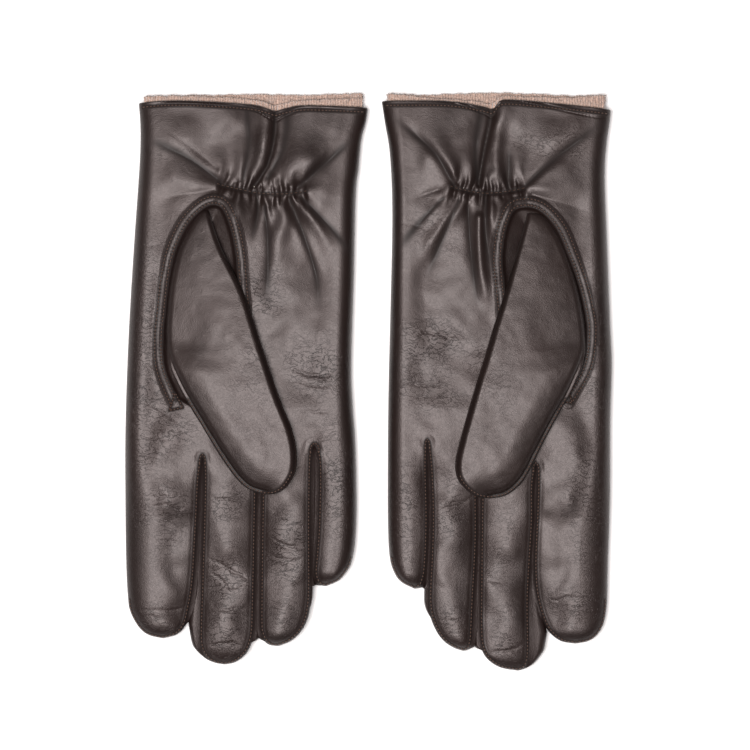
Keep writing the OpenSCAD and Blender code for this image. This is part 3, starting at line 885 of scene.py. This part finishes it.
def leather_material():
    m = new_material("dark_brown_nappa", (0.013, 0.0075, 0.006), LEATHER_ROUGH,
                     Specular_Tint=(1, 0.88, 0.86, 1), Coat_Weight=0.06, Coat_Roughness=0.25)
    n = Nodes(m)
    tone = n.tones(n.texture("Noise", "Fac", {"Scale": 45.0, "Detail": 4.0}), LEATHER_TONES)
    # painted shade: the seam number darkens the leather round its stitches and in its folds'
    # bottoms, and makes it rougher there
    seam = n.add("Attribute", attribute_name="seam").outputs["Fac"]
    n.fill(n.shader, {
        "Base Color": n.add("Mix", {"Factor": seam, "A": tone, "B": PAINTED_SHADE_TONE},
                            data_type="RGBA").outputs["Result"],
        "Roughness": n.add("MapRange", {"Value": seam, "To Min": LEATHER_ROUGH,
                                        "To Max": SEAM_ROUGH}).outputs["Result"]})
    # the crackle of creased leather: thin wandering lines where a warped noise passes its middle
    warp = n.texture("Noise", "Color", {"Scale": 210.0, "Detail": 3.0})
    bent = n.add("VectorMath", {0: warp, 1: (0.0065, 0.0065, 0.0065), 2: n.place},
                 operation="MULTIPLY_ADD").outputs["Vector"]
    long = n.add("Mapping", {"Vector": bent, "Scale": (0.55, 1.3, 1.0)}).outputs["Vector"]
    lines = n.texture("Noise", "Fac",
                      {"Vector": long, "Scale": 360.0, "Detail": 2.5, "Roughness": 0.55})
    centred = n.add("Math", {0: lines, 1: 0.5}, operation="SUBTRACT").outputs["Value"]
    apart = n.add("Math", {0: centred}, operation="ABSOLUTE").outputs["Value"]
    narrow = n.add("MapRange", {"Value": apart, "From Max": 0.035},
                   interpolation_type="SMOOTHSTEP").outputs["Result"]
    amount = n.add("Attribute", attribute_name="crinkle").outputs["Fac"]
    crackle = n.add("Math", {0: narrow, 1: amount}, operation="MULTIPLY").outputs["Value"]
    creases = n.texture("Noise", "Fac", {"Scale": 260.0, "Detail": 3.0, "Distortion": 0.6},
                        noise_type="RIDGED_MULTIFRACTAL")
    grain = n.texture("Voronoi", "Distance", {"Scale": 1500.0}, feature="DISTANCE_TO_EDGE")
    fine = n.texture("Noise", "Fac", {"Scale": 1100.0, "Detail": 3.0})
    n.bumps((crackle, 0.6, 0.0004), (creases, 0.25, 0.0003), (grain, 0.36, 0.0003),
            (fine, 0.12, 0.00015))
    return m


def knit_material():
    m = new_material("taupe_knit", (0.42, 0.26, 0.2), 0.95, Sheen_Weight=0.6,
                     Sheen_Roughness=0.5)
    n = Nodes(m)
    loops = n.texture("Wave", "Fac", {"Scale": 260.0, "Distortion": 3.0, "Detail": 3.0})
    fuzz = n.texture("Noise", "Fac", {"Scale": 1400.0, "Detail": 4.0})
    n.fill(n.shader, {"Base Color": n.tones(fuzz, KNIT_TONES)})
    n.bumps((loops, 1.0, 0.0006), (fuzz, 1.0, 0.0004))
    return m


MATERIALS = {
    "leather": leather_material(),
    "lining": knit_material(),
    "thread": new_material("waxed_thread", (0.06, 0.03, 0.02), 0.5),
    "elastic": new_material("woven_elastic", (0.62, 0.58, 0.5), 0.8),
    "conductive_pad": new_material("conductive_cloth", (0.08, 0.075, 0.07), 0.6),
}


# ---- the thumb -----------------------------------------------------------------------------

THUMB_BOTTOM = 15.5
FLANGE_Z = 18.2         # height of the seam allowance that stands out past the thumb's stitches


def thumb_top(x, y, outer, inner):
    """Height of the folded thumb's upper side."""
    tip = outer[-1][1]
    top = by_y([(15.4, 79), (17.6, 71), (19, 61), (19.9, 52), (20.9, 40), (22.6, 20),
                (24.2, -20), (24.2, tip + 9), (23.8, tip)])(y)
    width = by_y(inner)(y) - by_y(outer)(y)
    d_out = np.maximum(x - x[:, :1], 0)
    d_out = d_out + (np.abs(beside(x, y, outer, 90)[0]) - d_out) * ramp(-y, -12, -2)
    d_in = np.abs(beside(x, y, inner, 90)[0])
    free = ramp(-y, -20, -4)
    across = np.clip(d_out / (0.75 * width + 2), 0, 1)
    sewn = PALM_Z + (top - PALM_Z) * (0.6 * np.sin(np.pi / 2 * across) + 0.4 * dome(d_out / 3.2))
    flange = FLANGE_Z + 0.6 * dome(d_out / 0.5)
    rise = d_out - 1.7
    loose = flange + (top - flange) * (0.45 * dome(rise / 3) + 0.55 * np.sin(
        np.pi / 2 * np.clip(rise / 12, 0, 1)))
    z = sewn + (loose - sewn) * free
    z = z - 3.4 * (1 - dome(d_in / 2.4)) * (1 - 0.7 * ramp(-y, -8 - tip, 2 - tip))
    z = z + 0.5 * noise(x, y, 26, 21) + 0.22 * noise(x, y, 10, 22) + 0.08 * noise(x, y, 4, 23)
    return z, d_out, d_in, free


def build_thumb(side):
    """The leather of the folded thumb: upper side, underside and the two edges."""
    outer, inner = THUMB[side]["outer"], THUMB[side]["inner"]
    peak, tip = outer[0][1], outer[-1][1]
    rows = (peak + tip) / 2 + (peak - tip) / 2 * np.sin(np.linspace(np.pi / 2, -np.pi / 2, 280))
    low, high = by_y(outer)(rows), by_y(inner)(rows)
    low = low + 0.9 * ramp(rows, 2, 22) * (1 - ramp(rows, peak - 10, peak))
    x = spread(low, high, 90, 0.5)
    y = level(rows, 90)
    z, d_out, d_in, free = thumb_top(x, y, outer, inner)
    under = np.minimum(THUMB_BOTTOM, z - 0.8)
    lip = FLANGE_Z - 0.5
    raised = lip - (lip - THUMB_BOTTOM) * dome((d_out - 1.2) / 4.2)
    under = under + (raised - under) * free
    under = under + 2.2 * (1 - dome(d_in / 3.0)) * ramp(z - THUMB_BOTTOM, 3, 8)
    shell = Shell()
    shell.grid("thumb_leather", x, y, z)
    shell.grid("thumb_leather", x, y, under, flip=True)
    # the rolled inner fold, then the thin outer edge
    for end, bulge, thin, thick, count in ((-1, 0.9, 0.5, 5, 12), (0, 0.3, 0.2, 1, 5)):
        out = bulge * ramp(z[:, end] - under[:, end], thin, thick)
        edge_x, edge_z = fourchette(x[:, end], z[:, end], x[:, end], under[:, end], out,
                                    1 if end else -1, count)
        shell.grid("thumb_leather", edge_x, level(rows, count), edge_z, flip=(end == 0))
    shell.weld()
    return shell.part("thumb_leather")


def thumb_web(side):
    """The thumb's tube under its fold, from the palm's oval up into the thumb."""
    near, inner = (smooth(points, 40) for points in THUMB[side]["web"])
    aside, out = squarish(np.linspace(0, np.pi, 22)[1:-1], 0.45)
    ring = list(inner[::-1])
    for end, way in ((0, 1), (-1, -1)):
        middle, half = (inner[end] + near[end]) / 2, way * (inner[end] - near[end]) / 2
        ahead = np.array([-half[1], half[0]]) / np.linalg.norm(half)
        ring += [middle + a * half + 5 * o * ahead for a, o in zip(aside, out)]
        ring += list(near) if end == 0 else []
    ring = np.array(ring)
    return closed_rings(np.array([np.column_stack([ring, np.full(len(ring), z)])
                                  for z in np.linspace(7.5, 16.3, 28)]))


# ---- linings, hems and other inner pieces ----------------------------------------------------

def bag(rows, low, high, bottom, top, wall=1.4, count=56):
    """A knitted tube with a wall, open at its first row and closed at its last."""
    c, s = squarish(np.linspace(0, 2 * np.pi, count, endpoint=False), 0.75)
    close = dome((rows - rows[-1]) / 6.0)
    layers = []
    for inset in (0.0, wall):
        half = np.maximum((high - low) / 2 - inset, 0.2) * close
        tall = np.maximum((top - bottom) / 2 - inset, 0.2) * close
        x = ((low + high) / 2)[:, None] + half[:, None] * c
        z = ((top + bottom) / 2)[:, None] + tall[:, None] * s
        y = level(rows, count) + inset * (rows[:, None] < rows[0] - 6)
        layers.append(np.stack([x, y, z], -1))
    return closed_rings(np.vstack([layers[0], layers[1][::-1]]), True)


def hand_lining(side):
    """The knitted inner glove, whose two layers show past the cuff."""
    low = by_y(OUTLINES[side]["index"]["low"])
    high = by_y(OUTLINES[side]["little"]["high"])
    front, back = by_x(RIM_FRONT[side]), by_x(RIM_BACK[side])
    ring = np.column_stack(squarish(np.linspace(0, 2 * np.pi, 20001), 0.42))
    along = lengths(ring * (50, 8))
    even = np.linspace(0, along[-1], 440, endpoint=False)
    c, s = (np.interp(even, along, v) for v in ring.T)
    depth = np.r_[-0.35, -0.2, 0.1, 0.5, np.arange(1, 9, 0.6), np.arange(10, 149, 4.6)]
    layers = []
    for inset, d in ((0.0, depth[::-1, None]), (0.65, np.array([[-0.62]])), (1.3, depth[:, None])):
        at = CUFF_Y + 4 - np.maximum(d, 0)
        half = (high(at) - low(at)) / 2 - 2.6 - inset
        x = (high(at) + low(at)) / 2 + half * c
        rim = back(x) + (front(x) - back(x)) * ramp(s, -0.3, 0.3)
        rim = rim + 0.3 * np.abs(np.sin(np.pi * x / 1.25)) + 0.3 * noise(x, x * 0 + 3, 1.7, 41)
        y = rim - d
        upper = thickness(y) - 2.3
        upper = upper + np.minimum(1.25 * folds(side, x, np.minimum(y, 124)), 0.8)
        upper = upper - 2.8 * bump(elastic(side, x, y)[0], 6)
        upper = upper - 1.1 * recess(side, x, y) * (s > 0)
        lower = 1.6 + 2.2 * (1 - ramp(d, 0, 12))
        z = MID_Z + np.where(s > 0, upper - MID_Z - inset, MID_Z - lower - inset) * s
        z = z + 0.12 * noise(x, y, 1.3, 42) * (d < 9)
        layers.append(np.stack([x, y, z], -1))
    return closed_rings(np.vstack(layers))


def fibres(side, co, count, seed):
    """Short stray fibres standing off the lining's rim."""
    rng = np.random.default_rng(seed)
    shown = co[(co[:, 1] > by_x(CUFF_EDGE[side])(co[:, 0]) + 0.6)]
    roots = shown[rng.integers(0, len(shown), count)]
    away = unit(rng.normal(0, 1, (count, 3)) + np.array([0, 0.9, 0.5]))
    across = unit(np.cross(away, rng.normal(0, 1, (count, 3))))
    other = np.cross(away, across)
    long = rng.uniform(0.5, 1.3, count)[:, None]
    bend = rng.normal(0, 0.25, (count, 3))
    r = 0.035
    base = [roots + r * across, roots - r / 2 * across + 0.87 * r * other,
            roots - r / 2 * across - 0.87 * r * other]
    middle = [p + away * long * 0.55 + bend * 0.5 for p in base]
    tips = roots + away * long + bend * 1.2
    faces = []
    for a in range(0, 7 * count, 7):
        for i in range(3):
            j = (i + 1) % 3
            faces += [[a + i, a + j, a + 3 + j, a + 3 + i], [a + 3 + i, a + 3 + j, a + 6]]
        faces.append([a + 2, a + 1, a])
    return np.stack(base + middle + [tips], 1).reshape(-1, 3), faces


def cuff_hem(loops):
    """The leather turned in round the cuff: over the edge and down inside."""
    around = [loops[n] for n in FINGERS] + [loops["side_high"]]
    around += [np.array(loops[n + "_back"])[:, ::-1] for n in FINGERS[::-1]]
    around += [np.array(loops["side_low"])[:, ::-1]]
    line = np.hstack(around).T
    line = line[np.linalg.norm(line - np.roll(line, 1, 0), axis=1) > 1e-6]
    ahead = np.roll(line, -1, 0) - np.roll(line, 1, 0)
    inward = unit(np.column_stack([ahead[:, 2], np.zeros(len(line)), -ahead[:, 0]]))
    profile = ((0, 0), (0.12, 0.3), (0.45, 0.5), (0.9, 0.4), (1.15, 0), (1.25, -2), (1.3, -4.5),
               (1.3, -7))
    return closed_rings(np.array([line + inward * depth + np.array([0, rise, 0])
                                  for depth, rise in profile]))


def strip(line, width, thick, tree, below, waves):
    """A thin flat band that follows a line under a surface."""
    points = smooth(line, 90)
    ahead = unit(np.gradient(points, axis=0))
    aside = width * np.column_stack([-ahead[:, 1], ahead[:, 0]])
    heights = [dropped(tree, points + aside * k)[0][:, 2] for k in (-0.5, -0.25, 0, 0.25, 0.5)]
    lowest = np.min([np.roll(h, k) for h in heights for k in (-2, 0, 2)], axis=0)
    z = lowest - below + waves * np.sin(np.arange(90) * 0.9)
    corners = [np.column_stack([points + aside * across, z - drop])
               for across, drop in ((-0.5, thick), (0.5, thick), (0.5, 0), (-0.5, 0))]
    co, faces = closed_rings(np.stack(corners, 1))
    last = len(co) - 4
    return co, faces + [[3, 2, 1, 0], [last, last + 1, last + 2, last + 3]]


def pad(tree, centre, reach, below=1.1, thick=0.45, count=40):
    """A thin disc of conductive cloth just under the leather."""
    turn = np.linspace(0, 2 * np.pi, count, endpoint=False)
    circle = np.column_stack([np.cos(turn), np.sin(turn)]) * reach
    rings = np.array([dropped(tree, circle * share + centre)[0] - np.array([0, 0, drop])
                      for share, drop in ((0.05, below + thick), (0.5, below + thick),
                                          (1, below + thick), (1, below), (0.5, below),
                                          (0.05, below))])
    co, faces = closed_rings(rings)
    last = len(co) - count
    return co, faces + [list(range(count - 1, -1, -1)), list(range(last, last + count))]


def quirk_patch(tree, corners):
    """The little gusset at the foot of the thumb's seam: a low cushion with rounded edges."""
    a, b, c = corners
    size = 14
    co, faces, index = [], [], {}
    for i in range(size + 1):
        for j in range(size + 1 - i):
            u, v = i / size, j / size
            w = 1 - u - v
            p = a * u + b * v + c * w
            place, _ = dropped(tree, p[None, :])
            rise = 0.75 * dome(3 * min(u, v, w) / 0.5) - 0.25
            index[i, j] = len(co)
            co.append([p[0], p[1], place[0, 2] + rise])
    for i in range(size):
        for j in range(size - i):
            faces.append([index[i, j], index[i + 1, j], index[i, j + 1]])
            if i + j < size - 1:
                faces.append([index[i + 1, j], index[i + 1, j + 1], index[i, j + 1]])
    co = np.array(co)
    n = np.cross(co[faces[0][1]] - co[faces[0][0]], co[faces[0][2]] - co[faces[0][0]])
    if n[2] < 0:
        faces = [f[::-1] for f in faces]
    return co, faces


# ---- stitches ----------------------------------------------------------------------------------

def tree_of(*meshes):
    co, faces = join(*meshes)
    return BVHTree.FromPolygons([Vector(p) for p in co], faces)


def dropped(tree, points, below=False):
    """Points laid on a surface from above, or from below, with the surface's direction there."""
    start, way = (-30, 1) if below else (60, -1)
    places, ups = [], []
    last = (Vector((0, 0, 0)), Vector((0, 0, -way)))
    for x, y in np.asarray(points)[:, :2]:
        hit, normal, *_ = tree.ray_cast(Vector((x, y, start)), Vector((0, 0, way)))
        if hit is not None:
            last = (hit, -normal if normal.z * way > 0 else normal)
        places.append([x, y, last[0].z])
        ups.append(last[1])
    return np.array(places), np.array(ups)


def stitch_row(tree, line, pitch=STITCH, length=1.12, radius=0.25, below=False):
    """Thread stitches along a line on a surface, each diving in at both ends."""
    total = lengths(line)[-1]
    count = int(total / pitch)
    centres = (np.arange(count) + 0.5) * total / count
    steps = np.array([-0.5, -0.36, 0, 0.36, 0.5]) * length
    lifts = np.array([-0.4, 0.02, 0.13, 0.02, -0.4])
    sizes = np.array([0.6, 1.0, 1.1, 1.0, 0.6]) * radius
    places, ups = dropped(tree, resample(line, (centres[:, None] + steps).ravel()), below)
    ups = ups.reshape(count, 5, 3)[:, 2:3]
    places = places.reshape(count, 5, 3) + ups * lifts[:, None]
    ahead = unit(places[:, 4] - places[:, 0])
    across = unit(np.cross(ahead, ups[:, 0]))
    up = np.cross(across, ahead)
    turn = np.arange(6)[None, :, None] * np.pi / 3
    ring = np.cos(turn) * across[:, None, :] + np.sin(turn) * up[:, None, :]
    co = places[:, :, None, :] + sizes[:, None, None] * ring[:, None, :, :]
    faces = []
    for first in range(0, 30 * count, 30):
        for a in range(first, first + 24, 6):
            faces += [[a + j, a + (j + 1) % 6, a + (j + 1) % 6 + 6, a + j + 6] for j in range(6)]
        faces.append([first + j for j in range(5, -1, -1)])
        faces.append([first + 24 + j for j in range(6)])
    return co.reshape(-1, 3), faces


def inset(line, depth):
    """A line moved sideways, to the left of its direction."""
    ahead = unit(np.gradient(line, axis=0))
    return line + depth * np.column_stack([-ahead[:, 1], ahead[:, 0]])


def finger_seam(side, i, rows, low, high):
    """The line of a finger's stitches: down one side, round the tip and up the other."""
    starts = [begin - 1.5 for begin in CROTCHES[side]]
    starts = [-97.0, *starts, -76.0]
    down = np.column_stack([low, rows])[rows < starts[i]]
    up = np.column_stack([high, rows])[rows < starts[i + 1]][::-1]
    line = np.vstack([down, up[1:]])
    line = line[np.r_[True, np.linalg.norm(np.diff(line, axis=0), axis=1) > 1e-4]]
    return inset(resample(line, np.arange(0, lengths(line)[-1], 0.4)), SEAM_IN)


# ---- building the gloves -------------------------------------------------------------------

joints = {j["name"]: j for j in frame["joints"]}


def build_fingers(side, shell, loops, tree):
    for i, name in enumerate(FINGERS):
        rows, low, high = loops[name + "_edges"]
        soft = rows[rows < -24][::4]
        soft = np.r_[soft[soft > soft[-1] + 3], soft[-1] + 3]
        lower, upper = (np.interp(-soft, -rows, rim) for rim in (low, high))
        stitching = [stitch_row(tree, finger_seam(side, i, rows, low, high))]
        if i < 3:
            # the bar of stitches across the slit's upper end
            y = CROTCHES[side][i]
            next_rows, next_low, _ = loops[FINGERS[i + 1] + "_edges"]
            a = np.interp(3 - y, -rows, high) - 1.1
            b = np.interp(3 - y, -next_rows, next_low) + 1.1
            bar = [(a, y - 3), (a + 0.3, y - 0.2), ((a + b) / 2, y + 1.4), (b - 0.3, y - 0.2),
                   (b, y - 3)]
            stitching.append(stitch_row(tree, smooth(bar, 400), 1.3, 1.0))
        for part, slot, mesh in (
            ("leather", "leather", shell.part(f"{name}_leather")),
            ("fourchettes", "leather", shell.part(f"{name}_fourchettes")),
            ("lining", "lining",
             bag(soft, lower + 2.4, upper - 2.4, soft * 0 + 2.0, thickness(soft) - 2.0)),
            ("stitching", "thread", join(*stitching)),
        ):
            obj = piece(side, f"{name}_{part}", slot, *mesh)
            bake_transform(obj)
            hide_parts(f"{side}_{name}_{part}")
            if part == "fourchettes":
                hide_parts(f"{side}_root_fourchettes")


def build_palm(side, shell, loops, tree):
    """The pieces that ride on the hand itself."""
    seam = smooth(THUMB_SEAM[side], 400)
    x = np.linspace(OUTLINES[side]["index"]["low"][0][0] + 1.8,
                    OUTLINES[side]["little"]["high"][0][0] - 1.8, 300)
    cuff = np.column_stack([x, by_x(CUFF_EDGE[side])(x) - 1.7])
    quirk = np.array(QUIRK[side], float)
    gusset = quirk_patch(tree, quirk)
    rows = [stitch_row(tree, inset(seam, 1.4)), stitch_row(tree, inset(seam, -1.4))]
    corners = quirk + (quirk.mean(0) - quirk) * 0.3
    for a, b in zip(corners, np.roll(corners, -1, 0)):
        rows.append(stitch_row(tree_of(gusset), np.linspace(a, b, 20), 1.3, 1.0))
    lining = hand_lining(side)
    for name, slot, mesh in (
        ("trank", "leather", shell.part("trank")),
        ("thumb_quirk", "leather", gusset),
        ("cuff_hem", "leather", cuff_hem(loops)),
        ("wrist_elastic", "elastic", strip(ELASTIC[side], 8, 0.5, tree, 0.5, 0.15)),
        ("hand_lining", "lining", join(lining, fibres(side, lining[0], 3500, 5))),
        ("cuff_stitching", "thread",
         join(stitch_row(tree, cuff), stitch_row(tree, cuff, below=True))),
        ("elastic_stitching", "thread",
         stitch_row(tree, smooth(ELASTIC[side], 400), 2.0, 1.5, 0.15)),
        ("thumb_seam_stitching", "thread", join(*rows)),
    ):
        rigid(side, name, slot, "hand", *mesh)


def build_thumb_pieces(side):
    axis = Vector(joints[f"{side}_thumb_root"]["axis"]).normalized()
    across = axis.cross(Vector((0, 0, 1)))
    if (across.x > 0) != (side == "right"):
        across = -across
    leather = build_thumb(side)
    obj = piece(side, "thumb_leather", "leather", *leather)
    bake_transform(obj)
    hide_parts(f"{side}_thumb_leather")
    web = piece(side, "thumb_web", "leather", *thumb_web(side))
    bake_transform(web)
    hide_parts(f"{side}_thumb_leather")
    tree = tree_of(leather[:2])
    outer, inner = THUMB[side]["outer"], THUMB[side]["inner"]
    tip_x, tip_y = outer[-1]
    around = np.vstack([smooth(outer, 500), smooth(inner, 500)[::-1][1:]])
    last = np.argmax((np.arange(len(around)) > 500) & (around[:, 1] > tip_y + 11))
    first = np.argmax(around[:, 1] < -7)
    rigid(side, "thumb_stitching", "thread", "thumb",
          *stitch_row(tree, inset(around[first:last], 0.8)))
    rows = np.arange(62, tip_y + 6, -2.0)
    low, high = by_y(outer)(rows), by_y(inner)(rows) - 2.8
    low = low + 4.8 + (0.5 * (high - low) - 4.8) * ramp(rows, 0, 24)
    top = np.interp(rows, [-50, -20, 20, 42, 60, 71], [21.4, 22.3, 20.4, 18.8, 17.8, 17.2])
    rigid(side, "thumb_lining", "lining", "thumb",
          *bag(rows, low, high, rows * 0 + 16.5, top, 1.0))
    rigid(side, "thumb_touch_pad", "conductive_pad", "thumb",
          *pad(tree, (tip_x, tip_y + 13), (8, 9)))


for side in ("right", "left"):
    shell, loops = build_shell(side)
    tree = tree_of((shell.co, [list(dict.fromkeys(q)) for q in shell.quads.tolist()
                               if len(set(q)) > 2]))
    build_palm(side, shell, loops, tree)
    build_fingers(side, shell, loops, tree)
    build_thumb_pieces(side)
    tip_x, tip_y = OUTLINES[side]["index"]["low"][-1]
    rigid_pad = piece(side, "index_touch_pad", "conductive_pad",
                      *pad(tree, (tip_x - 1.5, tip_y + 12.5), (8, 8)))
    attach(rigid_pad, f"{side}_index_finger")
    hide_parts(f"{side}_index_touch_pad")
    own = [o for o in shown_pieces() if o.name.startswith(side) and o.name.endswith("_skin")]
    mark_painted_shade([o for o in own if o.get("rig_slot") == "leather"],
               [o for o in own if o.get("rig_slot") == "thread"])

# ---- stage, light and camera ---------------------------------------------------------------

LAMP_PLACE = Vector((-0.22, -0.1, 1.9))
EYE_HEIGHT = 1.8        # of the camera over the gloves
FRAME_WIDTH = 0.3375    # what the camera sees at that distance
SENSOR = 36
FLOOR_REACH = 3.0

scene = bpy.context.scene
scene.view_settings.view_transform = "Standard"


def added(name, data):
    obj = bpy.data.objects.new(name, data)
    scene.collection.objects.link(obj)
    return obj


floor_mesh = bpy.data.meshes.new("floor")
floor_mesh.from_pydata([(FLOOR_REACH * x, FLOOR_REACH * y, 0)
                        for x, y in ((-1, -1), (1, -1), (1, 1), (-1, 1))], [], [(0, 1, 2, 3)])
floor_mesh.materials.append(new_material("pale_floor", (0.9, 0.9, 0.9), 0.9))
added("floor", floor_mesh)

world = bpy.data.worlds.new("studio")
world.use_nodes = True
world.node_tree.nodes["Background"].inputs["Color"].default_value = (1, 1, 1, 1)
world.node_tree.nodes["Background"].inputs["Strength"].default_value = 0.095
scene.world = world

lamp = bpy.data.lights.new("softbox", "AREA")
lamp.shape = "RECTANGLE"
lamp.size, lamp.size_y = 0.8, 0.65
lamp.energy = 58
lamp.color = (1, 0.955, 0.945)
softbox = added("softbox", lamp)
softbox.location = LAMP_PLACE
softbox.rotation_euler = (math.atan2(-LAMP_PLACE.y, LAMP_PLACE.z),
                          math.atan2(LAMP_PLACE.x, LAMP_PLACE.z), 0)

camera = bpy.data.cameras.new("camera")
camera.sensor_width = SENSOR
camera.lens = SENSOR * EYE_HEIGHT / FRAME_WIDTH
scene.camera = added("camera", camera)
scene.camera.location = (0.0029, 0.0032, EYE_HEIGHT + 0.008)
